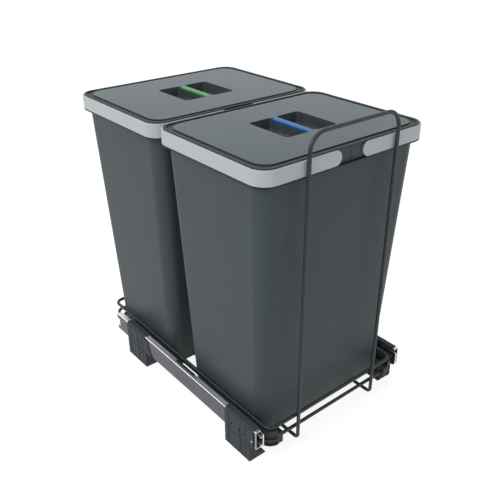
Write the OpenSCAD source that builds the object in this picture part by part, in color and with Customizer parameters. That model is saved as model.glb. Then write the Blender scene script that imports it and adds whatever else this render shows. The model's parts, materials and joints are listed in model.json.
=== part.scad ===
/* [Bins] */
// Width of one bin over its rim band
bin_w = 333; // [260:1:420]
// Depth of one bin over its rim band, front to back
bin_d = 248; // [200:1:300]
// Height of one bin from its floor to the top of its rim band
bin_h = 471.5; // [380:0.5:600]
// Free gap between the two rim bands
pair_gap = 3; // [1:0.5:10]
// How far the rim band stands out from the body just below it
rim_over = 9.5; // [7:0.5:14]
// How much each wall leans in from below the rim down to the floor
bin_taper = 17; // [8:0.5:20]
// Wall thickness of a bin
bin_wall = 2.2; // [1.6:0.1:3]
// Corner radius of the rim band seen from above
rim_corner_r = 27; // [20:1:32]
// Height of the light rim band
band_h = 22.5; // [18:0.5:28]
// Thickness of the light rim band
band_t = 3.9; // [2.6:0.1:4.4]
// Width of the opening in the band at the front of each bin
band_gap = 44; // [30:1:80]

/* [Lids] */
// Width of the finger pocket in the lid, left to right
pocket_w = 102; // [80:1:120]
// Length of the finger pocket, front to back
pocket_l = 88; // [70:1:104]
// Depth of the finger pocket below the lid's panel
pocket_h = 27; // [18:1:34]
// Width of the grip fin that crosses the pocket
fin_w = 11; // [8:0.5:16]
// Width of the groove round the lid's panel
groove_w = 7; // [4:0.5:10]
// Depth of the groove round the lid's panel
groove_h = 2.4; // [1:0.1:2.6]

/* [Wire frame] */
// Wire diameter
wire_d = 6; // [5:0.5:6]
// Radius of the wire rings' corners on the wire's centre line
ring_r = 14; // [12:1:20]
// Height of the upper ring above the lower ring, centre to centre
ring_step = 22; // [18:1:24]
// Space between the bin's sides and the upper ring
side_slack = 1.8; // [1:0.1:3]
// Space in front of the front bin up to the upper ring
front_room = 20; // [16:1:30]
// Space behind the back bin up to the upper ring
rear_room = 10; // [8:1:20]
// Free height under the base wires
floor_gap = 14; // [10:1:16]
// Distance between the two legs of the front loop, centre to centre
loop_w = 177.4; // [140:1:220]
// Height of the front loop above the rim bands, to the wire's centre line
loop_rise = 36.5; // [20:0.5:60]
// Radius of the loop's upper corners on the centre line
loop_r = 26; // [16:1:40]
// Radius of the bends at the foot of the wires on the centre line
foot_r = 8; // [6:0.5:8]

/* [Runners] */
// Length of a runner
runner_l = 430; // [400:10:450]
// Height of a runner's outer member
runner_h = 35; // [35:0.5:38]
// Height of the runner's lower edge above the floor
runner_z0 = 35; // [33:0.5:38]
// Depth of the outer member, web to open side
outer_depth = 10; // [9.5:0.1:10.4]
// Depth of the whole runner, web to the inner member's face
pack_depth = 12.7; // [12.5:0.1:13.4]
// Sheet thickness of the runner members
sheet_t = 1.2; // [1:0.1:1.4]
// Diameter of the outer row of balls
outer_ball_d = 3.2; // [2.8:0.1:3.4]
// Diameter of the inner row of balls
inner_ball_d = 2.8; // [2.4:0.1:3]
// Number of balls in one row
balls_per_row = 5; // [3:1:7]
// Full travel of the tray
travel = 430; // [300:5:430]

/* [Floor brackets] */
// Space from the rim band's side out to the bracket's outer face
side_room = 6; // [5.5:0.5:10]
// Length of a bracket along the runner
bracket_l = 64; // [56:1:72]
// How far the runner stands out behind the rear bracket
rear_overhang = 39.5; // [20:0.5:60]
// Thickness of the bracket's skin over the runner's web
skin_t = 1.4; // [1.2:0.1:2]
// Reach of the bracket's foot towards the middle, from its outer face
foot_reach = 33; // [31:1:38]
// Diameter of the floor screw's hole
screw_hole_d = 5; // [4:0.1:5.5]

/* [Side rails] */
// Height of the rail's shelf above the runner's middle line
rail_rise = 7.5; // [6.5:0.1:8.5]
// Thickness of the rail's shelf
shelf_t = 2.4; // [2:0.1:3]
// Thickness of the rail's upright wall
rail_wall = 1.8; // [1.6:0.1:2]
// Length of the slot in the shelf
slot_l = 54; // [30:1:60]
// Width of the slot in the shelf
slot_w = 5; // [3:0.1:5]

/* [Hidden] */

round_fn = 48;
wire_fn = 24;
blend_fn = 32;
cut = 1;
fit_gap = 0.3;
fine = 0.01;

// Heights, from the floor up
base_wire_z = floor_gap + wire_d / 2;
cross_wire_z = base_wire_z + wire_d;
bin_z0 = cross_wire_z + wire_d / 2;
rim_top = bin_z0 + bin_h;
rim_z0 = rim_top - band_h;
runner_z = runner_z0 + runner_h / 2;
runner_z1 = runner_z0 + runner_h;
shelf_z1 = runner_z + rail_rise;
wire_bed = 0.4;
ring_z = shelf_z1 + wire_d / 2 - wire_bed;
low_ring_z = ring_z - ring_step;
loop_top_z = rim_top + loop_rise;

// Places across, from the middle out
side_x = bin_w / 2 + side_room;
runner_x = side_x - skin_t;
outer_open_x = runner_x - outer_depth;
inner_face_x = runner_x - pack_depth;
function lean(z) = fine * round(bin_taper * (rim_z0 - z) / (rim_z0 - bin_z0) / fine);
ring_x = bin_w / 2 - rim_over - lean(ring_z) + side_slack + wire_d / 2;

// Places front to back: the loop stands as far in front of the origin as the back rim behind it
loop_reach = front_room + 2 * wire_d - rim_over - lean(ring_z);
pair_y = loop_reach / 2;
front_bin_y = pair_y - (pair_gap + bin_d) / 2;
back_bin_y = pair_y + (pair_gap + bin_d) / 2;
leg_y = front_bin_y - bin_d / 2 - loop_reach + wire_d / 2;
ring_y0 = leg_y + wire_d;
ring_y1 = back_bin_y + bin_d / 2 - rim_over - lean(ring_z) + rear_room + wire_d / 2;
riser_y = ring_y1 + wire_d;
runner_setback = 3;
runner_y0 = ring_y0 + runner_setback;
runner_y1 = runner_y0 + runner_l;
runner_show = 5;
collar_l = 8.5;
bracket_y0 = runner_y0 + runner_show + collar_l;
bracket_starts = [bracket_y0, runner_y1 - rear_overhang - bracket_l];

// Rounded block, centred in plan, standing on z = 0
module slab(w, d, r, h) {
  for (wide = [0, 1])
    translate([wide ? -w / 2 : r - w / 2, wide ? r - d / 2 : -d / 2, 0])
      cube([wide ? w : w - 2 * r, wide ? d - 2 * r : d, h]);
  for (sx = [-1, 1], sy = [-1, 1])
    translate([sx * (w / 2 - r), sy * (d / 2 - r), 0]) cylinder(r = r, h = h, $fn = round_fn);
}

// Rounded frame between two blocks, the inner one smaller by the wall all round
module frame_slab(w, d, r, wall, h) {
  difference() {
    slab(w, d, r, h);
    translate([0, 0, -cut]) slab(w - 2 * wall, d - 2 * wall, r - wall, h + 2 * cut);
  }
}

// Unit vector from one point to another
function way(p, q) = (q - p) / norm(q - p);

// Straight piece of wire from p to q, its seam turned to the side given
module straight_wire(p, q, side) {
  a = way(p, q);
  up = cross(a, side);
  multmatrix([[side.x, up.x, a.x, p.x], [side.y, up.y, a.y, p.y], [side.z, up.z, a.z, p.z], [0, 0, 0, 1]])
    cylinder(d = wire_d, h = norm(q - p), $fn = wire_fn);
}

// Square bend of wire at corner q, coming in along a and going out along b
module wire_bend(q, a, b, r) {
  c = q - a * r + b * r;
  up = cross(a, b);
  multmatrix([[-b.x, a.x, up.x, c.x], [-b.y, a.y, up.y, c.y], [-b.z, a.z, up.z, c.z], [0, 0, 0, 1]])
    rotate_extrude(angle = 90, $fn = round_fn) translate([r, 0]) circle(d = wire_d, $fn = wire_fn);
}

// Wire through a list of corners, each with a bend of its own radius
module bent_wire(corners, radii, closed = false) {
  n = len(corners);
  for (i = [0:closed ? n - 1 : n - 2]) {
    p = corners[i];
    q = corners[(i + 1) % n];
    bent_p = closed || i > 0;
    bent_q = closed || i < n - 2;
    side = bent_p ? way(corners[(i + n - 1) % n], p) : way(corners[i + 2], q);
    r = radii[(i + 1) % n];
    straight_wire(p + way(p, q) * (bent_p ? radii[i] : 0), q - way(p, q) * (bent_q ? r : 0), side);
    if (bent_q)
      wire_bend(q, way(p, q), way(q, corners[(i + 2) % n]), r);
  }
}

// Shows one side's piece as drawn, or mirrored for the right side
module on_side(right) {
  mirror([right ? 1 : 0, 0, 0]) children();
}

// Extrudes a profile drawn as (distance in from the bracket's outer face, height) along the runner
module along_runner(y0, length) {
  translate([-side_x, y0 + length, 0]) rotate([90, 0, 0]) linear_extrude(height = length) children();
}

// Floor bracket
cover_t = 2.4;
cover_w = skin_t + outer_depth;
shoulder_w = 3.5;
shoulder_h = 5;
hook_t = 1.3;
hook_h = 4;
block_w = 13.5;
heel_h = 15;
toe_h = 2.5;
foot_seat_h = 3;
screw_head_d = 10.5;
screw_in = 23.5;
line_w = 1.6;
line_t = 0.7;
line_shares = [0.14, 0.37, 0.84];
slit_w = 2.4;
slit_h = 23;
panel_t = 0.4;
panel_z0 = 4;
mid_line_z = 34.5;
eye_w = 3.2;
eye_h = 5;
eye_z = 48.5;
eye_shares = [0.25, 0.42, 0.72];
pocket_rib = 3;
pockets = 3;
pocket_depth = 8;
pocket_floor = 4;
gusset_l = 26;
gusset_top_l = 10;
gusset_r = 50;
gusset_eye_d = 3.6;
gusset_eye_back = 6;

module bracket_profile() {
  polygon([
    [0, 0], [foot_reach, 0], [foot_reach, toe_h], [block_w, heel_h], [block_w, runner_z0],
    [skin_t, runner_z0], [skin_t, runner_z1], [cover_w, runner_z1], [cover_w, runner_z1 - hook_h],
    [cover_w + hook_t, runner_z1 - hook_h], [cover_w + hook_t, runner_z1 + cover_t],
    [shoulder_w, runner_z1 + cover_t], [0, runner_z1 + cover_t - shoulder_h]
  ]);
}

// The part of the profile that goes round the runner
module bracket_wrap_profile() {
  intersection() {
    bracket_profile();
    translate([0, runner_z0]) square([cover_w + hook_t, runner_h + cover_t]);
  }
}

module bracket_cuts(y0) {
  for (s = line_shares)
    translate([-side_x - cut, y0 + s * bracket_l - line_w / 2, -cut])
      cube([line_t + cut, line_w, runner_z1 + cover_t - shoulder_h + cut]);
  translate([-side_x - cut, y0 - collar_l - cut, mid_line_z - line_w / 2])
    cube([line_t + cut, bracket_l + collar_l + 2 * cut, line_w]);
  for (s = line_shares)
    translate([-side_x - cut, y0 + s * bracket_l - slit_w / 2, mid_line_z + line_w])
      cube([line_t + cut, slit_w, slit_h]);
  for (i = [1:len(line_shares) - 1]) {
    panel_y0 = y0 + line_shares[i - 1] * bracket_l + line_w;
    panel_y1 = y0 + line_shares[i] * bracket_l - line_w;
    translate([-side_x - cut, panel_y0, panel_z0])
      cube([panel_t + cut, panel_y1 - panel_y0, mid_line_z - panel_z0 - line_w]);
  }
  for (s = eye_shares)
    translate([-side_x - cut, y0 + s * bracket_l, eye_z]) rotate([0, 90, 0]) {
      for (end = [-1, 1])
        translate([end * (eye_h - eye_w) / 2, 0, 0])
          cylinder(d = eye_w, h = skin_t + 2 * cut, $fn = wire_fn);
      translate([-(eye_h - eye_w) / 2, -eye_w / 2, 0]) cube([eye_h - eye_w, eye_w, skin_t + 2 * cut]);
    }
  pocket_span = (bracket_l - pocket_rib) / pockets;
  for (i = [0:pockets - 1])
    translate([-side_x + block_w - pocket_depth, y0 + pocket_rib + i * pocket_span, heel_h])
      cube([pocket_depth + cut, pocket_span - pocket_rib, runner_z0 - heel_h - pocket_floor]);
  translate([-side_x + screw_in, y0 + bracket_l / 2, -cut])
    cylinder(d = screw_hole_d, h = heel_h + cut, $fn = round_fn);
  translate([-side_x + screw_in, y0 + bracket_l / 2, foot_seat_h])
    cylinder(d = screw_head_d, h = heel_h, $fn = round_fn);
}

module bracket(y0, rear) {
  difference() {
    union() {
      along_runner(y0, bracket_l) bracket_profile();
      if (rear)
        gusset(y0);
      else
        along_runner(y0 - collar_l, collar_l) bracket_wrap_profile();
    }
    bracket_cuts(y0);
  }
}

// Thin ear of the rear brackets that lies on the runner's web, with a hollow curved front edge
module gusset(y0) {
  translate([-side_x, 0, 0]) rotate([90, 0, 90]) linear_extrude(height = skin_t) difference() {
    translate([y0 - gusset_l, runner_z0]) square([gusset_l, runner_h - shoulder_h]);
    translate([y0 - gusset_top_l - gusset_r, runner_z1]) circle(r = gusset_r, $fn = round_fn);
    translate([y0 - gusset_eye_back, eye_z]) circle(d = gusset_eye_d, $fn = wire_fn);
  }
}

module front_left_bracket() { color([0.27, 0.29, 0.3]) on_side(false) bracket(bracket_starts[0], false); }
module front_right_bracket() { color([0.27, 0.29, 0.3]) on_side(true) bracket(bracket_starts[0], false); }
module rear_left_bracket() { color([0.27, 0.29, 0.3]) on_side(false) bracket(bracket_starts[1], true); }
module rear_right_bracket() { color([0.27, 0.29, 0.3]) on_side(true) bracket(bracket_starts[1], true); }

// Rivets that hold the runners to the front brackets
rivet_d = 3.4;
rivet_head = 0.6;
rivet_in = 2.5;

module bracket_rivets() {
  color("silver")
    for (right = [false, true])
      on_side(right)
        translate([-side_x - rivet_head, bracket_starts[0] - collar_l + rivet_in, eye_z]) rotate([0, 90, 0])
          cylinder(d = rivet_d, h = rivet_head, $fn = wire_fn);
}

// Runner members: a channel of sheet, open towards the middle, with turned-in edges
edge_turn = 2.4;
edge_r = 1.8;
ball_play = 0.1;
outer_in_h = runner_h - 2 * sheet_t;
middle_h = outer_in_h - 2 * outer_ball_d - 4 * ball_play;
middle_in_h = middle_h - 2 * sheet_t;
inner_h = middle_in_h - 2 * inner_ball_d - 4 * ball_play;
cage_t = 0.6;
cage_gap = 0.3;
middle_x = runner_x - sheet_t - cage_t - 2 * cage_gap;
middle_open_x = outer_open_x - cage_gap;
inner_back_x = middle_x - sheet_t - cage_t - 2 * cage_gap - cage_gap;
bumper_l = 4.5;
notch_h = 16;
notch_l = 8;
bumper_y0 = runner_y1 - notch_l - bumper_l;
member_y1 = bumper_y0 - fit_gap;
middle_setback = 12;

// Channel profile drawn as (distance in from the bracket's outer face, height)
module channel_profile(x_back, x_open, h, turn) {
  back = side_x - x_back;
  depth = x_back - x_open;
  translate([back, runner_z - h / 2]) {
    difference() {
      union() {
        translate([edge_r, 0]) square([depth - edge_r, h]);
        translate([0, edge_r]) square([edge_r, h - 2 * edge_r]);
        for (z = [edge_r, h - edge_r]) translate([edge_r, z]) circle(r = edge_r, $fn = round_fn);
      }
      translate([sheet_t, sheet_t]) square([depth, h - 2 * sheet_t]);
    }
    for (z = [sheet_t, h - sheet_t - turn])
      translate([depth - sheet_t, z]) square([sheet_t, turn]);
  }
}

web_hole_d = 4.4;
web_hole_shares = [0.22, 0.33, 0.6, 0.66, 0.95];

module outer_runner() {
  difference() {
    along_runner(runner_y0, runner_l)
      channel_profile(runner_x, outer_open_x, runner_h, edge_turn - ball_play);
    for (s = web_hole_shares)
      translate([-runner_x - cut, runner_y0 + s * runner_l, runner_z]) rotate([0, 90, 0])
        cylinder(d = web_hole_d, h = sheet_t + 2 * cut, $fn = wire_fn);
    translate([-runner_x - cut, bracket_starts[1] - gusset_eye_back, eye_z]) rotate([0, 90, 0])
      cylinder(d = gusset_eye_d, h = sheet_t + 2 * cut, $fn = wire_fn);
    translate([-runner_x - cut, runner_y1 - notch_l, runner_z - notch_h / 2])
      cube([sheet_t + 2 * cut, notch_l + cut, notch_h]);
  }
}

module left_outer_runner() { color([0.62, 0.62, 0.64]) on_side(false) outer_runner(); }
module right_outer_runner() { color([0.62, 0.62, 0.64]) on_side(true) outer_runner(); }

// Buffer ahead of the notch in the outer member's rear end
bumper_h = 21;

module runner_bumper() {
  x0 = -runner_x + sheet_t;
  translate([x0, bumper_y0, runner_z - bumper_h / 2])
    cube([-inner_face_x - cage_gap - x0 - cage_t, bumper_l, bumper_h]);
}

module left_runner_bumper() { color([0.1, 0.1, 0.1]) on_side(false) runner_bumper(); }
module right_runner_bumper() { color([0.1, 0.1, 0.1]) on_side(true) runner_bumper(); }

// Ribbed pad on top of the outer member, beside the slot in the rail
pad_w = 5;
pad_t = 0.5;
pad_rib_h = 0.3;
pad_rib_w = 0.9;
pad_ribs = 16;
slot_ahead = 15.5;
slot_y = pair_y - slot_ahead - slot_l;

module runner_grip_pad() {
  translate([-outer_open_x - pad_w, slot_y, runner_z1]) {
    cube([pad_w, slot_l, pad_t]);
    for (i = [0:pad_ribs - 1])
      translate([0, (i + 0.5) * slot_l / pad_ribs - pad_rib_w / 2, pad_t])
        cube([pad_w, pad_rib_w, pad_rib_h]);
  }
}

module left_runner_grip_pad() { color([0.12, 0.13, 0.13]) on_side(false) runner_grip_pad(); }
module right_runner_grip_pad() { color([0.12, 0.13, 0.13]) on_side(true) runner_grip_pad(); }

// Ball cages lie where both of their members still hold them at full travel
outer_cage_l = runner_l - travel / 2 - 2 * bumper_l - notch_l;
inner_cage_l = outer_cage_l - middle_setback;
outer_cage_y0 = runner_y0 + travel / 4;
inner_cage_y0 = outer_cage_y0 + middle_setback;
outer_ball_x = (runner_x - sheet_t + outer_open_x + sheet_t) / 2;
outer_ball_z = outer_in_h / 2 - ball_play - outer_ball_d / 2;
inner_ball_x = middle_open_x + sheet_t + inner_ball_d / 2 + 2 * ball_play;
inner_ball_z = middle_in_h / 2 - ball_play - inner_ball_d / 2;
cage_lap = 1.2;

module ball_cage(x_back, ball_x, ball_z, ball_d, y0, cage_l) {
  difference() {
    union() {
      translate([-x_back, y0, runner_z - ball_z]) cube([cage_t, cage_l, 2 * ball_z]);
      for (s = [-1, 1])
        translate([-x_back, y0, runner_z + s * ball_z - cage_t / 2])
          cube([x_back - ball_x + ball_d / 2 + cage_lap, cage_l, cage_t]);
    }
    for (i = [0:balls_per_row - 1], s = [-1, 1])
      translate([-ball_x, y0 + (i + 0.5) * cage_l / balls_per_row, runner_z + s * ball_z - cage_t])
        cylinder(d = ball_d + 2 * ball_play, h = 2 * cage_t, $fn = wire_fn);
  }
}

module ball_rows(ball_x, ball_z, ball_d, y0, cage_l) {
  for (i = [0:balls_per_row - 1], s = [-1, 1])
    translate([-ball_x, y0 + (i + 0.5) * cage_l / balls_per_row, runner_z + s * ball_z])
      sphere(d = ball_d, $fn = wire_fn);
}

module outer_cage() {
  back_x = runner_x - sheet_t - cage_gap;
  ball_cage(back_x, outer_ball_x, outer_ball_z, outer_ball_d, outer_cage_y0, outer_cage_l);
}

module inner_cage() {
  back_x = middle_x - sheet_t - cage_gap;
  ball_cage(back_x, inner_ball_x, inner_ball_z, inner_ball_d, inner_cage_y0, inner_cage_l);
}

module left_outer_ball_cage() { color([0.2, 0.2, 0.2]) on_side(false) outer_cage(); }
module right_outer_ball_cage() { color([0.2, 0.2, 0.2]) on_side(true) outer_cage(); }
module left_inner_ball_cage() { color([0.2, 0.2, 0.2]) on_side(false) inner_cage(); }
module right_inner_ball_cage() { color([0.2, 0.2, 0.2]) on_side(true) inner_cage(); }

module outer_balls() { ball_rows(outer_ball_x, outer_ball_z, outer_ball_d, outer_cage_y0, outer_cage_l); }
module inner_balls() { ball_rows(inner_ball_x, inner_ball_z, inner_ball_d, inner_cage_y0, inner_cage_l); }
module left_outer_balls() { color("silver") on_side(false) outer_balls(); }
module right_outer_balls() { color("silver") on_side(true) outer_balls(); }
module left_inner_balls() { color("silver") on_side(false) inner_balls(); }
module right_inner_balls() { color("silver") on_side(true) inner_balls(); }

module middle_runner() {
  middle_turn = inner_ball_d / 2 + ball_play - cage_t / 2 - cage_gap;
  along_runner(runner_y0 + middle_setback, member_y1 - runner_y0 - middle_setback)
    channel_profile(middle_x, middle_open_x, middle_h, middle_turn);
}

module left_middle_runner() { color([0.6, 0.6, 0.62]) on_side(false) middle_runner(); }
module right_middle_runner() { color([0.6, 0.6, 0.62]) on_side(true) middle_runner(); }

// Inner member: flanges that reach into the runner from a taller web, its front end folded double
rail_screw_d = 4;
rail_head_d = 7.6;
rail_head_t = 1.2;
inner_web_h = 24.3;
inner_lead = 5;

module inner_profile() {
  depth = inner_back_x - inner_face_x;
  translate([side_x - inner_back_x, runner_z]) {
    for (z = [-inner_h / 2, inner_h / 2 - sheet_t])
      translate([0, z]) square([depth, sheet_t]);
    translate([depth - sheet_t, -inner_web_h / 2]) square([sheet_t, inner_web_h]);
  }
}

module inner_runner() {
  difference() {
    union() {
      along_runner(runner_y0 - inner_lead, member_y1 - runner_y0 + inner_lead) inner_profile();
      translate([-inner_face_x - 2 * sheet_t, runner_y0 - inner_lead, runner_z - inner_web_h / 2])
        cube([2 * sheet_t, inner_lead, inner_web_h]);
    }
    for (y = rail_screw_ys)
      translate([-inner_face_x - 2 * sheet_t, y, runner_z]) rotate([0, 90, 0])
        cylinder(d = rail_screw_d, h = 2 * sheet_t + cut, $fn = wire_fn);
  }
}

module left_inner_runner() { color([0.66, 0.66, 0.68]) on_side(false) inner_runner(); }
module right_inner_runner() { color([0.66, 0.66, 0.68]) on_side(true) inner_runner(); }

// Side rail: upright wall on the inner member, shelf under the upper ring, moulded front corner
rail_tail = 15.5;
rail_y1 = min(member_y1, ring_y1 - ring_r) - rail_tail;
shelf_x = ring_x - wire_d / 2;
rail_wall_z0 = runner_z - inner_web_h / 2;
corner_x = ring_x - ring_r;
corner_y = ring_y0 + ring_r;
corner_wall_r = ring_r + wire_d / 2 + fit_gap;
corner_flange = 2.5;
corner_under = 6.5;
corner_z0 = low_ring_z - wire_d / 2 - corner_under;
flange_t = 3;
ledge_z = low_ring_z - wire_d / 2;
ledge_t = 6.4;
ledge_w = 1.8;
brow_h = 11;
brow_w = 1.2;
corner_run = 34;
tab_w = 12.5;
tab_over = 2.5;
tab_h = 21.5;
tab_wall = 3.5;
tab_reach = wire_d / 2 + tab_wall;
tab_notch = 3;
socket_d = 9.6;
socket_h = 9;
rib_t = 2;
ribs_along = 5;
cross_leg_x = ring_x + wire_d;
slot_in = 0.7;
slot_x = ring_x + wire_d / 2 + slot_in + slot_w / 2;

// Section of the front corner, drawn as (distance from the corner's centre, height)
module corner_section() {
  translate([corner_wall_r, corner_z0]) square([rail_wall, shelf_z1 - corner_z0]);
  translate([corner_wall_r - wire_d / 2, corner_z0])
    square([rail_wall + corner_flange + wire_d / 2, flange_t]);
  translate([corner_wall_r, ledge_z]) square([rail_wall + ledge_w, ledge_t]);
  translate([corner_wall_r, shelf_z1 - brow_h]) square([rail_wall + brow_w, brow_h]);
  translate([corner_wall_r - wire_d, shelf_z1 - shelf_t]) square([rail_wall + wire_d, shelf_t]);
}

module rail_corner() {
  translate([-corner_x, corner_y, 0]) {
    rotate([0, 0, 180]) rotate_extrude(angle = 90, $fn = round_fn) corner_section();
    rotate([90, 0, 180]) linear_extrude(height = corner_run) corner_section();
  }
  translate([-inner_face_x, corner_y, corner_z0 + socket_h])
    cube([inner_face_x - corner_x - corner_wall_r, rib_t, shelf_z1 - corner_z0 - socket_h]);
}

module rail_tab() {
  translate([-corner_x - tab_over, ring_y0 - tab_reach, corner_z0])
    cube([tab_w, 2 * tab_reach, tab_h]);
}

module rail_body() {
  translate([-inner_face_x, runner_y0, rail_wall_z0])
    cube([rail_wall, rail_y1 - runner_y0, shelf_z1 - rail_wall_z0]);
  translate([-inner_face_x, corner_y, shelf_z1 - shelf_t])
    cube([inner_face_x - shelf_x, rail_y1 - corner_y, shelf_t]);
  translate([-inner_face_x, runner_y0, shelf_z1 - shelf_t])
    cube([inner_face_x - corner_x - corner_wall_r + wire_d, corner_y - runner_y0, shelf_t]);
  for (y = cross_wire_ys)
    if (y < rail_y1)
      translate([-cross_leg_x, y, shelf_z1 - shelf_t - socket_h])
        cylinder(d = socket_d, h = socket_h, $fn = wire_fn);
  rib_y0 = corner_y + corner_run;
  rib_span = (rail_y1 - rib_y0) / ribs_along;
  for (i = [1:ribs_along])
    if (abs(rib_y0 + i * rib_span - slot_y - slot_l / 2) > slot_l / 2 + rib_t)
      rail_rib(rib_y0 + i * rib_span - rib_t);
}

// Gusset rib between the rail's wall and its shelf
module rail_rib(y) {
  reach = inner_face_x - shelf_x;
  translate([-inner_face_x, y + rib_t, 0]) rotate([90, 0, 0]) linear_extrude(height = rib_t)
    polygon([[0, rail_wall_z0], [rail_wall, rail_wall_z0], [reach, shelf_z1 - shelf_t],
      [reach, shelf_z1 - shelf_t / 2], [0, shelf_z1 - shelf_t / 2]]);
}

// The slot, the seats of the wires, and the screws' holes with room below for the heads and the driver
module rail_cuts() {
  head_room = rail_head_d + 2 * fit_gap;
  translate([-slot_x, slot_y, shelf_z1 - shelf_t - cut]) {
    for (end = [slot_w / 2, slot_l - slot_w / 2])
      translate([0, end, 0]) cylinder(d = slot_w, h = shelf_t + 2 * cut, $fn = wire_fn);
    translate([-slot_w / 2, slot_w / 2, 0]) cube([slot_w, slot_l - slot_w, shelf_t + 2 * cut]);
  }
  for (y = cross_wire_ys)
    translate([-cross_leg_x, y, shelf_z1 - shelf_t - socket_h - cut])
      cylinder(d = wire_d + 2 * ball_play, h = socket_h + cut, $fn = wire_fn);
  for (y = rail_screw_ys)
    translate([-inner_face_x - cut, y, runner_z]) rotate([0, 90, 0]) {
      cylinder(d = rail_screw_d + 2 * ball_play, h = rail_wall + 2 * cut, $fn = wire_fn);
      translate([0, 0, rail_wall + cut]) {
        cylinder(d = head_room, h = inner_face_x - shelf_x, $fn = wire_fn);
        translate([0, -head_room / 2, 0]) cube([socket_h, head_room, inner_face_x - shelf_x]);
      }
    }
  translate([-corner_x - tab_over - cut, ring_y0, low_ring_z]) rotate([0, 90, 0])
    cylinder(d = wire_d + 2 * ball_play, h = tab_w + 2 * cut, $fn = wire_fn);
  translate([-corner_x - tab_over + tab_w / 2, ring_y0 - tab_reach - cut, corner_z0 + tab_h])
    rotate([0, 45, 0]) translate([-tab_notch / 2, 0, -tab_notch / 2])
      cube([tab_notch, 2 * tab_reach + 2 * cut, tab_notch]);
  bed_r = wire_d / 2 + ball_play / 2;
  translate([-ring_x, corner_y, ring_z]) rotate([-90, 0, 0])
    cylinder(r = bed_r, h = rail_y1 - corner_y + cut, $fn = round_fn);
  translate([-corner_x, corner_y, ring_z]) rotate([0, 0, 180])
    rotate_extrude(angle = 90, $fn = round_fn) translate([ring_r, 0]) circle(r = bed_r, $fn = round_fn);
}

module side_rail() {
  difference() {
    union() {
      rail_body();
      rail_corner();
      rail_tab();
    }
    rail_cuts();
  }
}

module left_side_rail() { color([0.25, 0.26, 0.27]) on_side(false) side_rail(); }
module right_side_rail() { color([0.25, 0.26, 0.27]) on_side(true) side_rail(); }

// Screws that hold the rails to the inner members
module rail_screws() {
  color("silver")
    for (right = [false, true], y = rail_screw_ys)
      on_side(right) translate([-inner_face_x - sheet_t, y, runner_z]) rotate([0, 90, 0]) {
        cylinder(d = rail_screw_d - ball_play, h = sheet_t + rail_wall, $fn = wire_fn);
        translate([0, 0, sheet_t + rail_wall]) cylinder(d = rail_head_d, h = rail_head_t, $fn = wire_fn);
      }
}

// Wire frame
cross_wire_shares = [-0.25, 0.19, -0.37, 0.25];
cross_wire_ys = [for (i = [0:3]) (i < 2 ? front_bin_y : back_bin_y) + cross_wire_shares[i] * bin_d];

// The rail screws sit clear behind the first two of these wires, then midway to the next and to the tail
screw_clear = 10;
tail_from = min(cross_wire_ys[2], rail_y1 - 2 * screw_clear);
rail_screw_ys = [
  cross_wire_ys[0] + screw_clear, cross_wire_ys[1] + screw_clear,
  (cross_wire_ys[1] + cross_wire_ys[2]) / 2, (tail_from + rail_y1) / 2
];

module ring_wire(z) {
  bent_wire([[-ring_x, ring_y0, z], [ring_x, ring_y0, z], [ring_x, ring_y1, z], [-ring_x, ring_y1, z]],
    [for (i = [0:3]) ring_r], closed = true);
}

module upper_ring_wire() { color([0.24, 0.26, 0.27]) ring_wire(ring_z); }
module lower_ring_wire() { color([0.24, 0.26, 0.27]) ring_wire(low_ring_z); }

// One wire: down behind the bins, forward under them, up the front, over and back again
module front_loop_wire() {
  x = loop_w / 2;
  rise_z = ring_z + wire_d / 2;
  color([0.24, 0.26, 0.27])
    bent_wire([[-x, riser_y, rise_z], [-x, riser_y, base_wire_z], [-x, leg_y, base_wire_z],
      [-x, leg_y, loop_top_z], [x, leg_y, loop_top_z], [x, leg_y, base_wire_z],
      [x, riser_y, base_wire_z], [x, riser_y, rise_z]],
      [0, foot_r, foot_r, loop_r, loop_r, foot_r, foot_r, 0]);
}

// Wires under the bins, bent up at both ends against the rings, the first ones into the rails
module base_cross_wires() {
  color([0.24, 0.26, 0.27])
    for (y = cross_wire_ys) {
      top = y < rail_y1 ? shelf_z1 - shelf_t - ball_play : ring_z;
      bent_wire([[-cross_leg_x, y, top], [-cross_leg_x, y, cross_wire_z],
        [cross_leg_x, y, cross_wire_z], [cross_leg_x, y, top]], [0, foot_r, foot_r, 0]);
    }
}

// Bins
body_top_w = bin_w - 2 * rim_over;
body_top_d = bin_d - 2 * rim_over;
body_r_in = 3;
body_r = rim_corner_r - body_r_in;
floor_r = 5;
floor_share = 0.3;
lip_t = 2.4;
lip_in = 0.8;
collar_in = band_t + fit_gap;
collar_down = 2;
collar_top = rim_top - collar_down;
seam_w = 1;
seam_t = 0.6;

// Tapered body between its floor and the underside of the rim, smaller by the inset all round
module tapered_body(inset, floor_up, top_up) {
  hull() {
    for (step = [[0, floor_r], [floor_r * floor_share, floor_r * floor_share], [floor_r, 0]])
      translate([0, 0, bin_z0 + floor_up + step[0]])
        linear_extrude(height = seam_t) rounded_square(
          body_top_w - 2 * (bin_taper + inset + step[1]), body_top_d - 2 * (bin_taper + inset + step[1]),
          body_r - inset - step[1] / 2);
    translate([0, 0, rim_z0 - lip_t - seam_t + top_up])
      linear_extrude(height = seam_t)
        rounded_square(body_top_w - 2 * inset, body_top_d - 2 * inset, body_r - inset);
  }
}

module rounded_square(w, d, r) {
  square([w - 2 * r, d], center = true);
  square([w, d - 2 * r], center = true);
  for (sx = [-1, 1], sy = [-1, 1])
    translate([sx * (w / 2 - r), sy * (d / 2 - r)]) circle(r = r, $fn = blend_fn);
}

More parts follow.
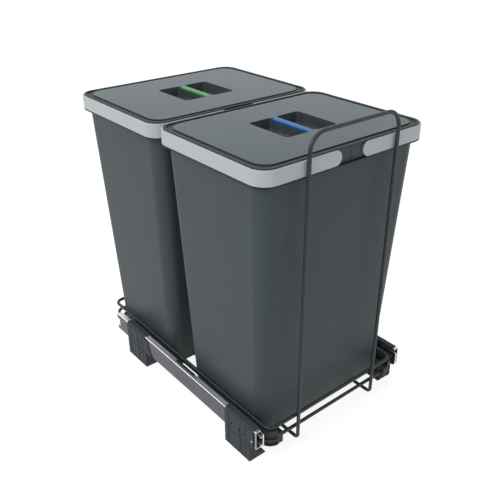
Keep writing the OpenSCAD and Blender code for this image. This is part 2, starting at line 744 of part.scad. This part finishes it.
module bin() {
  difference() {
    union() {
      tapered_body(0, 0, 0);
      translate([0, 0, rim_z0 - lip_t])
        slab(bin_w - 2 * lip_in, bin_d - 2 * lip_in, rim_corner_r - lip_in, lip_t);
      translate([0, 0, rim_z0])
        slab(bin_w - 2 * collar_in, bin_d - 2 * collar_in, rim_corner_r - collar_in, collar_top - rim_z0);
    }
    tapered_body(bin_wall, bin_wall, cut + lip_t);
    translate([0, 0, rim_z0])
      slab(bin_w - 2 * (collar_in + bin_wall), bin_d - 2 * (collar_in + bin_wall),
        rim_corner_r - collar_in - bin_wall, band_h + cut);
    translate([-seam_w / 2, collar_in - bin_d / 2 - cut, rim_z0])
      cube([seam_w, seam_t + cut, collar_top - rim_z0 + cut]);
  }
}

module front_bin() { color([0.33, 0.35, 0.36]) translate([0, front_bin_y, 0]) bin(); }
module back_bin() { color([0.33, 0.35, 0.36]) translate([0, back_bin_y, 0]) bin(); }

// Light band round the rim, open at the front between two round ends
module rim_band() {
  open_x = band_gap / 2 + band_h / 2;
  difference() {
    translate([0, 0, rim_z0]) frame_slab(bin_w, bin_d, rim_corner_r, band_t, band_h);
    translate([-open_x, -bin_d / 2 - cut, rim_z0 - cut])
      cube([2 * open_x, band_t + 2 * cut, band_h + 2 * cut]);
  }
  for (s = [-1, 1])
    translate([s * open_x, band_t - bin_d / 2, rim_z0 + band_h / 2]) rotate([90, 0, 0])
      cylinder(d = band_h, h = band_t, $fn = round_fn);
}

module front_rim_band() { color([0.72, 0.73, 0.74]) translate([0, front_bin_y, 0]) rim_band(); }
module back_rim_band() { color([0.72, 0.73, 0.74]) translate([0, back_bin_y, 0]) rim_band(); }

// Lid: border bead, groove and raised panel, with a finger pocket split by a grip fin
lid_in = band_t + fit_gap + ball_play;
lid_w = bin_w - 2 * lid_in;
lid_d = bin_d - 2 * lid_in;
lid_r = rim_corner_r - lid_in;
lid_rise = 2;
lid_top = rim_top + lid_rise;
lid_edge_in = 3;
bead_w = 4;
skirt_in = collar_in + bin_wall + fit_gap;
skirt_t = 2;
skirt_h = 8;
plate_t = 2;
pocket_r = 12;
pocket_knee_share = 0.6;
pocket_lean = 4.2;
pocket_foot_lean = 21;
strip_t = 4.5;
strip_in = 3.6;

// One finger hollow beside the fin: steep down to its knee, then rounded in to its foot
module pocket_half() {
  w = (pocket_w - fin_w) / 2;
  hull()
    for (step = [[0, 0], [pocket_h * pocket_knee_share, pocket_lean], [pocket_h, pocket_foot_lean]])
      translate([fin_w / 2 + w / 2, 0, lid_top - step[0]])
        linear_extrude(height = cut) rounded_square(w - step[1], pocket_l - step[1], pocket_r / 2);
}

module lid() {
  bead_in = lid_edge_in + bead_w;
  panel_in = bead_in + groove_w;
  panel_r = rim_corner_r - lid_edge_in;
  difference() {
    union() {
      translate([0, 0, collar_top]) slab(lid_w, lid_d, lid_r, lid_top - collar_top);
      translate([0, 0, rim_top + fit_gap])
        slab(bin_w - 2 * lid_edge_in, bin_d - 2 * lid_edge_in, panel_r, lid_top - rim_top - fit_gap);
      translate([0, 0, collar_top - skirt_h])
        frame_slab(bin_w - 2 * skirt_in, bin_d - 2 * skirt_in, rim_corner_r - skirt_in, skirt_t, skirt_h);
      translate([0, 0, lid_top - pocket_h - plate_t])
        slab(pocket_w + 2 * plate_t, pocket_l + 2 * plate_t, pocket_r, pocket_h);
    }
    translate([0, 0, lid_top - groove_h]) difference() {
      slab(bin_w - 2 * bead_in, bin_d - 2 * bead_in, rim_corner_r - bead_in, groove_h + cut);
      translate([0, 0, -cut]) slab(bin_w - 2 * panel_in, bin_d - 2 * panel_in, panel_r, groove_h + 3 * cut);
    }
    translate([0, 0, collar_top - cut]) difference() {
      slab(bin_w - 2 * panel_in - 2 * plate_t, bin_d - 2 * panel_in - 2 * plate_t, panel_r,
        lid_top - collar_top - plate_t + cut);
      translate([0, 0, -cut]) slab(pocket_w + 2 * plate_t, pocket_l + 2 * plate_t, pocket_r, band_h);
    }
    for (m = [0, 1]) mirror([m, 0, 0]) pocket_half();
    translate([-fin_w / 2 - cut, strip_in - pocket_l / 2, lid_top - strip_t])
      cube([fin_w + 2 * cut, pocket_l - 2 * strip_in, strip_t + cut]);
  }
}

module front_lid() { color([0.42, 0.45, 0.47]) translate([0, front_bin_y, 0]) lid(); }
module back_lid() { color([0.42, 0.45, 0.47]) translate([0, back_bin_y, 0]) lid(); }

// Coloured strip let into the top of the grip fin
module grip_strip() {
  l = pocket_l - 2 * strip_in - 2 * ball_play;
  edge = strip_t / 2;
  translate([0, l / 2, lid_top - strip_t]) rotate([90, 0, 0]) linear_extrude(height = l) {
    translate([-fin_w / 2, 0]) square([fin_w, edge]);
    translate([edge - fin_w / 2, 0]) square([fin_w - 2 * edge, strip_t]);
    for (s = [-1, 1]) translate([s * (fin_w / 2 - edge), edge]) circle(r = edge, $fn = wire_fn);
  }
}

module front_lid_grip_strip() { color([0.2, 0.4, 0.75]) translate([0, front_bin_y, 0]) grip_strip(); }
module back_lid_grip_strip() { color([0.25, 0.6, 0.3]) translate([0, back_bin_y, 0]) grip_strip(); }

front_left_bracket();
front_right_bracket();
rear_left_bracket();
rear_right_bracket();
bracket_rivets();
left_outer_runner();
right_outer_runner();
left_runner_bumper();
right_runner_bumper();
left_runner_grip_pad();
right_runner_grip_pad();
left_outer_ball_cage();
right_outer_ball_cage();
left_outer_balls();
right_outer_balls();
left_middle_runner();
right_middle_runner();
left_inner_ball_cage();
right_inner_ball_cage();
left_inner_balls();
right_inner_balls();
left_inner_runner();
right_inner_runner();
left_side_rail();
right_side_rail();
rail_screws();
upper_ring_wire();
lower_ring_wire();
front_loop_wire();
base_cross_wires();
front_bin();
back_bin();
front_rim_band();
back_rim_band();
front_lid();
back_lid();
front_lid_grip_strip();
back_lid_grip_strip();
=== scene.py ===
"""Looks of the pull-out waste bin unit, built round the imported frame. Lengths are in metres."""

import json
import math

import bmesh
import bpy
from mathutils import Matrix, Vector


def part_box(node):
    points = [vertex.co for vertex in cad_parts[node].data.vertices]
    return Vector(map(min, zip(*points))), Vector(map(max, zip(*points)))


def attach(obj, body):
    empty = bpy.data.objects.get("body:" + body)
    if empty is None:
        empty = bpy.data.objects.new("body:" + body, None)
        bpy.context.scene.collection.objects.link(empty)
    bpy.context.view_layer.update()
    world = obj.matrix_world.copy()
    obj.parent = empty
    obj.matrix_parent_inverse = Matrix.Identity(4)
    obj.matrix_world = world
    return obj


# Camera, from the photograph's own edges: angles in degrees, lens and sensor in millimetres
CAMERA_PLACE = (-0.6485, -0.8096, 0.7917)
CAMERA_AZIMUTH = -39.74
CAMERA_ELEVATION = 28.27
CAMERA_LENS = 46.46
CAMERA_SENSOR = 36.0
CAMERA_SHIFT = (-0.0067, -0.0008)

# Sky and floor: strengths as they are seen, and as they light the object
SKY_SEEN = 1.0
SKY_STRENGTH = 0.64
SKY_COLOR = (1.0, 1.0, 1.0, 1.0)
FLOOR_SIZE = 12.0
FLOOR_DIFFUSE = 0.22
FLOOR_GLOW = 0.86
FLOOR_BOUNCE = 0.7

LIGHTS = (
    # name, place, aimed at, diameter, watts, colour
    ("key_light", (-2.3, -0.4, 2.1), (0.0, 0.0, 0.25), 1.6, 37.0, (1.0, 1.0, 1.0)),
    ("top_light", (0.2, 0.3, 2.6), (0.0, 0.0, 0.4), 2.0, 12.0, (0.9, 0.97, 1.0)),
    ("rim_light", (-1.3, 2.2, 2.2), (-0.1, 0.0, 0.1), 1.6, 15.0, (1.0, 1.0, 1.0)),
    ("front_fill", (0.6, -2.6, 0.9), (0.0, 0.0, 0.25), 1.8, 1.5, (0.75, 0.9, 1.0)),
)

# Moulded plastic: noise scales, grain depth, and how far its colour and roughness wander
MOTTLE_SCALE = 9.0
GLOSS_SCALE = 40.0
GRAIN_SCALE = 900.0
GRAIN_STRENGTH = 0.35
GRAIN_DEPTH = 0.00006
MOTTLE = 0.06
GLOSS_SPREAD = 0.02

# Lids: depth of the panel's skin, width of the border bead, panel corner, roughness of panel and border
LID_SKIN = 0.0005
LID_BORDER = 0.009
LID_CORNER = 0.018
LID_ROUGH = 0.3
LID_DULL = 0.6
LID_SPECULAR = 0.34
LID_MOTTLE_SCALE = 6.0
LID_MOTTLE = 0.03
LID_GRAIN_SCALE = 1300.0
LID_GRAIN_DEPTH = 0.00004

# Rolled steel: shades of its webs and of the painted highlight on its other faces, roughness under and over
# its middle, and its drawn lines
METAL_SHARE = 0.85
CLOUD_SCALE = 30.0
WEB_SHADES = (0.86, 1.08)
HIGHLIGHT_SHADES = (0.94, 1.04)
LINE_SCALE = 160.0
LINE_ROUGHNESS = (-0.04, 0.06)
LINE_STRENGTH = 0.2
LINE_DEPTH = 0.00003
EVEN = (1.0, 1.0, 1.0)
DRAWN_ALONG_Y = (1.0, 0.04, 1.0)

# Size of a normal's X at which a face starts to count as facing sideways, and at which it does so fully; the
# steel's painted highlight gives way to the web colour over this range
SIDE_START = 0.55
SIDE_FULL = 0.95

# Powder coat on the wires, with a thin glaze over an orange peel relief
COAT_CLOUD_SCALE = 60.0
COAT_SHADES = (0.9, 1.1)
COAT_GLOSS_SCALE = 200.0
COAT_ROUGHNESS = (0.34, 0.46)
COAT_SPECULAR = 0.3
GLAZE_WEIGHT = 0.05
GLAZE_ROUGHNESS = 0.35
PEEL_SCALE = 1400.0
PEEL_STRENGTH = 0.5
PEEL_DEPTH = 0.00006

# Middle range of a noise, which holds most of its values
NOISE_LOW = 0.3
NOISE_HIGH = 0.7

# Colour sockets of the Mix node, which has a set of sockets for each kind of data
MIX_A = 6
MIX_B = 7
MIX_RESULT = 2

# Moulded lip under each rim band: outline corner, steps round it, inset, depth, height, edge round
LIP_CORNER = 0.027
LIP_STEPS = 12
LIP_INSET = 0.0001
LIP_DEPTH = 0.0105
LIP_HEIGHT = 0.0026
LIP_ROUND = 0.0014
LIP_ROUND_MIDDLE = 0.3
LIP_SHARP_ANGLE = math.radians(60)

# Edges above this angle are rounded on the slots of EDGE_ROUNDING, and stay sharp on the others
SHARP_ANGLE = math.radians(32)
WELD_DISTANCE = 0.000001
FLAT_ANGLE = math.radians(0.3)
ROUNDING_STEPS = 2
FACE_WEIGHT = 90

# Rounding of the moulded edges, by material slot
EDGE_ROUNDING = {
    "band_plastic": 0.001,
    "bin_plastic": 0.0002,
    "lid_plastic": 0.0005,
    "bracket_plastic": 0.0005,
    "rail_plastic": 0.0005,
    "blue_plastic": 0.0005,
    "green_plastic": 0.0005,
}


def srgb(r, g, b):
    """Linear colour of a colour written in 0 to 255 screen values, by the standard sRGB curve."""
    def linear(v):
        v /= 255
        return v / 12.92 if v <= 0.04045 else ((v + 0.055) / 1.055) ** 2.4
    return (linear(r), linear(g), linear(b), 1.0)


def shade(color, amount):
    """The colour made darker or lighter by a factor."""
    return tuple(min(1.0, c * amount) for c in color[:3]) + (1.0,)


class Shader:
    """A node material with the principled shader and object coordinates ready."""

    def __init__(self, name):
        self.material = bpy.data.materials.new(name)
        self.material.use_nodes = True
        self.nodes = self.material.node_tree.nodes
        self.links = self.material.node_tree.links
        self.base = self.nodes["Principled BSDF"]
        self.place = self.nodes.new("ShaderNodeTexCoord").outputs["Object"]

    def link(self, out, socket):
        self.links.new(out, socket)

    def axes(self, vector):
        """The X, Y and Z outputs of a vector."""
        split = self.nodes.new("ShaderNodeSeparateXYZ")
        self.link(vector, split.inputs[0])
        return split.outputs

    def calc(self, operation, *values):
        """A Math node's output; each value is a number or another node's output."""
        node = self.nodes.new("ShaderNodeMath")
        node.operation = operation
        for socket, value in zip(node.inputs, values):
            if isinstance(value, (int, float)):
                socket.default_value = value
            else:
                self.link(value, socket)
        return node.outputs[0]

    def ramp(self, value, start=0.0, end=1.0, low=0.0, high=1.0):
        """Maps start to end onto low to high."""
        node = self.nodes.new("ShaderNodeMapRange")
        node.inputs["From Min"].default_value = start
        node.inputs["From Max"].default_value = end
        node.inputs["To Min"].default_value = low
        node.inputs["To Max"].default_value = high
        self.link(value, node.inputs["Value"])
        return node.outputs["Result"]

    def span(self, noise, low, high):
        """Maps a noise's middle range onto low to high."""
        return self.ramp(noise, NOISE_LOW, NOISE_HIGH, low, high)

    def noise(self, scale, detail=3.0, stretch=None):
        """Noise in object space; stretch scales the coordinates per axis, for drawn surfaces."""
        place = self.place
        if stretch:
            mapping = self.nodes.new("ShaderNodeMapping")
            mapping.inputs["Scale"].default_value = stretch
            self.link(place, mapping.inputs["Vector"])
            place = mapping.outputs["Vector"]
        node = self.nodes.new("ShaderNodeTexNoise")
        node.inputs["Scale"].default_value = scale
        node.inputs["Detail"].default_value = detail
        self.link(place, node.inputs["Vector"])
        return node.outputs["Fac"]

    def tint(self, value, first, second):
        """Mixes two colours, each a fixed colour or a node's output, by a value."""
        node = self.nodes.new("ShaderNodeMix")
        node.data_type = "RGBA"
        self.link(value, node.inputs["Factor"])
        for socket, color in ((node.inputs[MIX_A], first), (node.inputs[MIX_B], second)):
            if isinstance(color, tuple):
                socket.default_value = color
            else:
                self.link(color, socket)
        return node.outputs[MIX_RESULT]

    def mottled(self, noise, color, dark, light):
        """A colour that wanders between a darker and a lighter shade of itself."""
        return self.tint(self.span(noise, 0.0, 1.0), shade(color, dark), shade(color, light))

    def facing_sideways(self):
        """1 on faces that look left or right, falling to 0 where they turn away."""
        normal = self.nodes.new("ShaderNodeTexCoord").outputs["Normal"]
        return self.ramp(self.calc("ABSOLUTE", self.axes(normal)["X"]), SIDE_START, SIDE_FULL)

    def below(self, height):
        """1 on what lies below a height of the object's own frame, 0 above it."""
        return self.calc("LESS_THAN", self.axes(self.place)["Z"], height)

    def outside_panel(self, centre, half, radius):
        """1 outside a rounded rectangle seen from above, mirrored in the line midway between the two lids."""
        place = self.axes(self.place)
        mid, pitch = centre
        across = self.calc("ABSOLUTE", place["X"])
        away = self.calc("ABSOLUTE", self.calc("SUBTRACT", place["Y"], mid))
        along = self.calc("ABSOLUTE", self.calc("SUBTRACT", away, pitch))
        over = [self.calc("MAXIMUM", self.calc("SUBTRACT", value, size - radius), 0.0)
                for value, size in zip((across, along), half)]
        squares = self.calc("ADD", self.calc("POWER", over[0], 2.0), self.calc("POWER", over[1], 2.0))
        return self.calc("GREATER_THAN", self.calc("SQRT", squares), radius)

    def bump(self, height, strength, distance):
        """Sets a relief on the shader's normal."""
        node = self.nodes.new("ShaderNodeBump")
        node.inputs["Strength"].default_value = strength
        node.inputs["Distance"].default_value = distance
        self.link(height, node.inputs["Height"])
        self.link(node.outputs["Normal"], self.base.inputs["Normal"])


def moulded(name, color, rough, grain=GRAIN_SCALE, grain_depth=GRAIN_DEPTH, mottle=MOTTLE, specular=0.5):
    """Moulded plastic: fine spark-eroded grain, faint flow mottling, uneven gloss."""
    s = Shader(name)
    mottling = s.noise(MOTTLE_SCALE, detail=4.0)
    s.link(s.mottled(mottling, color, 1 - mottle, 1 + mottle), s.base.inputs["Base Color"])
    gloss = s.noise(GLOSS_SCALE, detail=5.0)
    s.link(s.span(gloss, rough - GLOSS_SPREAD, rough + GLOSS_SPREAD), s.base.inputs["Roughness"])
    s.base.inputs["Specular IOR Level"].default_value = specular
    s.bump(s.noise(grain, detail=2.0), GRAIN_STRENGTH, grain_depth)
    return s.material


def lid_plastic(name, panel_reflection_color, edge_color, recess_shade_color):
    """Moulded lid: a satin panel inside a duller border bead, with a dull groove and finger pocket. The
    panel's lighter bluish colour holds a painted reflection, and the groove, pocket and all else below the
    top skin take a darker painted shade.
    """
    s = Shader(name)
    (x0, y0, _), (x1, y1, top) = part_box("front_lid")
    back_y0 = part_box("back_lid")[0][1]
    half_pitch = (back_y0 - y0) / 2
    centre = ((y0 + y1) / 2 + half_pitch, half_pitch)
    half = ((x1 - x0) / 2 - LID_BORDER, (y1 - y0) / 2 - LID_BORDER)
    edge = s.outside_panel(centre, half, LID_CORNER)
    deep = s.below(top - LID_SKIN)
    mottling = s.noise(LID_MOTTLE_SCALE, detail=3.0)
    panel = s.mottled(mottling, panel_reflection_color, 1 - LID_MOTTLE, 1 + LID_MOTTLE)
    # Painted reflection and shade: the panel gets its bluish colour, the border bead a darker one, and
    # everything below the top skin the darker painted shade colour
    s.link(s.tint(deep, s.tint(edge, panel, edge_color), recess_shade_color), s.base.inputs["Base Color"])
    dull = s.calc("MAXIMUM", edge, deep)
    s.link(s.ramp(dull, low=LID_ROUGH, high=LID_DULL), s.base.inputs["Roughness"])
    s.base.inputs["Specular IOR Level"].default_value = LID_SPECULAR
    s.bump(s.noise(LID_GRAIN_SCALE, detail=2.0), GRAIN_STRENGTH, LID_GRAIN_DEPTH)
    return s.material


def rolled_steel(name, web_color, edge_color, rough, stretch):
    """Zinc plated steel in its own colour on the faces towards the sides, with a painted highlight in a
    brighter colour on the other faces.
    """
    s = Shader(name)
    clouds = s.noise(CLOUD_SCALE, detail=5.0)
    web = s.mottled(clouds, web_color, *WEB_SHADES)
    edge = s.mottled(clouds, edge_color, *HIGHLIGHT_SHADES)
    # Painted highlight: faces that don't face sideways get the bright colour, the sideways webs keep the
    # darker one
    s.link(s.tint(s.facing_sideways(), edge, web), s.base.inputs["Base Color"])
    lines = s.noise(LINE_SCALE, detail=3.0, stretch=stretch)
    smoothest, roughest = (rough + change for change in LINE_ROUGHNESS)
    s.link(s.span(lines, smoothest, roughest), s.base.inputs["Roughness"])
    s.base.inputs["Metallic"].default_value = METAL_SHARE
    s.bump(lines, LINE_STRENGTH, LINE_DEPTH)
    return s.material


def coated_wire(name, color):
    """Powder coated wire: fine orange peel and a thin glaze."""
    s = Shader(name)
    clouds = s.noise(COAT_CLOUD_SCALE, detail=4.0)
    s.link(s.mottled(clouds, color, *COAT_SHADES), s.base.inputs["Base Color"])
    gloss = s.noise(COAT_GLOSS_SCALE, detail=3.0)
    s.link(s.span(gloss, *COAT_ROUGHNESS), s.base.inputs["Roughness"])
    s.base.inputs["Specular IOR Level"].default_value = COAT_SPECULAR
    s.base.inputs["Coat Weight"].default_value = GLAZE_WEIGHT
    s.base.inputs["Coat Roughness"].default_value = GLAZE_ROUGHNESS
    s.bump(s.noise(PEEL_SCALE, detail=2.0), PEEL_STRENGTH, PEEL_DEPTH)
    return s.material


def make_materials():
    """The finish of every material slot of the record, and of the bins' lips, whose darker copy of the bin
    plastic is painted shade under the rim bands.
    """
    bright = srgb(225, 226, 228)
    fine = {"grain": 1500.0, "grain_depth": 0.00008}
    bin_skin = {"grain": 1100.0, "grain_depth": 0.00005, "mottle": 0.03, "specular": 0.16}
    return {
        "bracket_plastic": moulded("bracket_plastic", srgb(56, 60, 63), rough=0.55, specular=0.1, **fine),
        "bright_steel": rolled_steel("bright_steel", bright, bright, rough=0.2, stretch=EVEN),
        # The bright second colour is a painted highlight on the runners' flanges and edges
        "runner_steel": rolled_steel("runner_steel", srgb(84, 83, 89), bright, rough=0.3,
                                     stretch=DRAWN_ALONG_Y),
        "bumper_rubber": moulded("bumper_rubber", srgb(28, 28, 29), rough=0.7),
        "pad_plastic": moulded("pad_plastic", srgb(30, 32, 33), rough=0.5),
        "cage_plastic": moulded("cage_plastic", srgb(40, 40, 41), rough=0.5),
        "rail_plastic": moulded("rail_plastic", srgb(38, 42, 45), rough=0.5, specular=0.25, **fine),
        "wire_paint": coated_wire("wire_paint", srgb(38, 44, 47)),
        "bin_plastic": moulded("bin_plastic", srgb(60, 68, 70), rough=0.46, **bin_skin),
        # Darker copy of the bin plastic: painted shade under each rim band, on the lip pieces
        "bin_lip_shaded": moulded("bin_lip_shaded", srgb(30, 35, 37), rough=0.5, **bin_skin),
        "band_plastic": moulded("band_plastic", srgb(163, 167, 169), rough=0.38,
                                grain_depth=0.00004, mottle=0.02),
        # Lid colours: panel with painted bluish reflection, border bead, and painted shade below the top skin
        "lid_plastic": lid_plastic("lid_plastic", srgb(42, 60, 68), srgb(44, 52, 54), srgb(44, 51, 53)),
        "blue_plastic": moulded("blue_plastic", srgb(10, 84, 150), rough=0.42),
        "green_plastic": moulded("green_plastic", srgb(52, 130, 60), rough=0.36),
    }


def round_edges(obj, width):
    """Joins the mesh along its face borders, clears flat faces of triangles and rounds the edges left."""
    weld = obj.modifiers.new("weld", "WELD")
    weld.merge_threshold = WELD_DISTANCE
    flat = obj.modifiers.new("flat", "DECIMATE")
    flat.decimate_type = "DISSOLVE"
    flat.angle_limit = FLAT_ANGLE
    edge = obj.modifiers.new("edge", "BEVEL")
    edge.width = width
    edge.segments = ROUNDING_STEPS
    edge.limit_method = "ANGLE"
    edge.angle_limit = SHARP_ANGLE
    shading = obj.modifiers.new("shading", "WEIGHTED_NORMAL")
    shading.mode = "FACE_AREA"
    shading.weight = FACE_WEIGHT


def dress_nodes(frame, materials):
    """Gives every CAD node its slot's material, rounds moulded edges and keeps the others sharp."""
    slots = {part["node"]: part["material_slot"] for part in frame["record"]["subparts"]}
    for name, obj in frame["nodes"].items():
        obj.data.materials.clear()
        obj.data.materials.append(materials[slots[name]])
        obj.data.shade_smooth()
        if slots[name] in EDGE_ROUNDING:
            round_edges(obj, EDGE_ROUNDING[slots[name]])
        else:
            obj.data.set_sharp_from_angle(angle=SHARP_ANGLE)


def rounded_outline(centre, half, radius):
    """Points round a rectangle with rounded corners, counter-clockwise."""
    points = []
    for quarter, (sx, sy) in enumerate(((1, 1), (-1, 1), (-1, -1), (1, -1))):
        for step in range(LIP_STEPS + 1):
            turn = math.pi / 2 * (quarter + step / LIP_STEPS)
            points.append((centre[0] + sx * (half[0] - radius) + radius * math.cos(turn),
                           centre[1] + sy * (half[1] - radius) + radius * math.sin(turn)))
    return points


def lip_section():
    """The lip's section, as how far each point lies inside the band's outline and below its lower edge."""
    middle = LIP_ROUND_MIDDLE * LIP_ROUND
    return (
        (LIP_INSET, 0.0),
        (LIP_INSET, LIP_HEIGHT - LIP_ROUND),
        (LIP_INSET + middle, LIP_HEIGHT - middle),
        (LIP_INSET + LIP_ROUND, LIP_HEIGHT),
        (LIP_DEPTH, LIP_HEIGHT),
        (LIP_DEPTH, 0.0),
    )


def lip_mesh(name, band_box):
    """A closed ring with the lip's section, under a rim band."""
    (x0, y0, top), (x1, y1, _) = band_box
    centre = ((x0 + x1) / 2, (y0 + y1) / 2)
    mesh = bmesh.new()
    rings = []
    for inset, down in lip_section():
        half = ((x1 - x0) / 2 - inset, (y1 - y0) / 2 - inset)
        outline = rounded_outline(centre, half, LIP_CORNER - inset)
        rings.append([mesh.verts.new((x, y, top - down)) for x, y in outline])
    count = len(rings[0])
    for outer, inner in zip(rings, rings[1:] + rings[:1]):
        for i in range(count):
            j = (i + 1) % count
            mesh.faces.new((outer[j], outer[i], inner[i], inner[j]))
    bmesh.ops.recalc_face_normals(mesh, faces=mesh.faces)
    data = bpy.data.meshes.new(name)
    mesh.to_mesh(data)
    mesh.free()
    return data


def make_lip(end, material):
    """The bin's lip that carries its rim band, all but flush with the band's outside; its darker colour is
    painted shade under the band.
    """
    name = f"{end}_bin_lip_shaded"
    data = lip_mesh(name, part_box(f"{end}_rim_band"))
    data.materials.append(material)
    data.shade_smooth()
    data.set_sharp_from_angle(angle=LIP_SHARP_ANGLE)
    lip = bpy.data.objects.new(name, data)
    bpy.context.scene.collection.objects.link(lip)
    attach(lip, f"{end}_bin")


def make_camera():
    """The camera at the photograph's viewing angle."""
    data = bpy.data.cameras.new("camera")
    data.sensor_width = CAMERA_SENSOR
    data.lens = CAMERA_LENS
    data.shift_x, data.shift_y = CAMERA_SHIFT
    camera = bpy.data.objects.new("camera", data)
    camera.location = CAMERA_PLACE
    camera.rotation_euler = (math.radians(90 - CAMERA_ELEVATION), 0.0, math.radians(CAMERA_AZIMUTH))
    bpy.context.scene.collection.objects.link(camera)
    bpy.context.scene.camera = camera


def seen_or_felt(nodes, links, seen, felt):
    """One strength for camera, glossy and transmission rays, another for the rays that light the object."""
    path = nodes.new("ShaderNodeLightPath")
    total = path.outputs["Is Camera Ray"]
    for other in ("Is Glossy Ray", "Is Transmission Ray"):
        add = nodes.new("ShaderNodeMath")
        add.operation = "ADD"
        add.use_clamp = True
        links.new(total, add.inputs[0])
        links.new(path.outputs[other], add.inputs[1])
        total = add.outputs[0]
    level = nodes.new("ShaderNodeMapRange")
    level.inputs["To Min"].default_value = felt
    level.inputs["To Max"].default_value = seen
    links.new(total, level.inputs["Value"])
    return level.outputs["Result"]


def make_world():
    """White sky that is seen brighter than it lights."""
    world = bpy.data.worlds.new("studio")
    bpy.context.scene.world = world
    world.use_nodes = True
    nodes, links = world.node_tree.nodes, world.node_tree.links
    background = nodes["Background"]
    background.inputs["Color"].default_value = SKY_COLOR
    links.new(seen_or_felt(nodes, links, SKY_SEEN, SKY_STRENGTH), background.inputs["Strength"])


def make_floor():
    """Pale floor: its diffuse part takes the object's soft shadow, its glow brings it to white."""
    bpy.ops.mesh.primitive_plane_add(size=FLOOR_SIZE, location=(0.0, 0.0, 0.0))
    floor = bpy.context.object
    floor.name = "floor"
    material = bpy.data.materials.new("floor")
    material.use_nodes = True
    nodes, links = material.node_tree.nodes, material.node_tree.links
    nodes.remove(nodes["Principled BSDF"])
    diffuse = nodes.new("ShaderNodeBsdfDiffuse")
    diffuse.inputs["Color"].default_value = (FLOOR_DIFFUSE, FLOOR_DIFFUSE, FLOOR_DIFFUSE, 1.0)
    glow = nodes.new("ShaderNodeEmission")
    links.new(seen_or_felt(nodes, links, FLOOR_GLOW, FLOOR_BOUNCE), glow.inputs["Strength"])
    both = nodes.new("ShaderNodeAddShader")
    links.new(diffuse.outputs[0], both.inputs[0])
    links.new(glow.outputs[0], both.inputs[1])
    links.new(both.outputs[0], nodes["Material Output"].inputs["Surface"])
    floor.data.materials.append(material)


def make_lights():
    """Round soft lights, each turned towards the point that it is aimed at."""
    for name, place, aim, diameter, watts, color in LIGHTS:
        data = bpy.data.lights.new(name, "AREA")
        data.shape = "DISK"
        data.size = diameter
        data.energy = watts
        data.color = color
        lamp = bpy.data.objects.new(name, data)
        lamp.location = place
        lamp.rotation_euler = (Vector(aim) - Vector(place)).to_track_quat("-Z", "Y").to_euler()
        bpy.context.scene.collection.objects.link(lamp)


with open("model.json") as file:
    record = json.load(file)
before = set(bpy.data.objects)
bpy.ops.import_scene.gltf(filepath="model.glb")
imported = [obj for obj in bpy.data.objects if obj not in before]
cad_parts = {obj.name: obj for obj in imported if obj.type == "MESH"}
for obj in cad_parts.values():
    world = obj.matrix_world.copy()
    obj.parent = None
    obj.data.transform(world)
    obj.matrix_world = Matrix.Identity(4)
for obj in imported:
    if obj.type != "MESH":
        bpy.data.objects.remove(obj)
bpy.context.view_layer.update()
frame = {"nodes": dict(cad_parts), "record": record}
make_camera()
materials = make_materials()
dress_nodes(frame, materials)
for end in ("front", "back"):
    make_lip(end, materials["bin_lip_shaded"])
make_world()
make_floor()
make_lights()
bpy.context.scene.view_settings.view_transform = "Standard"
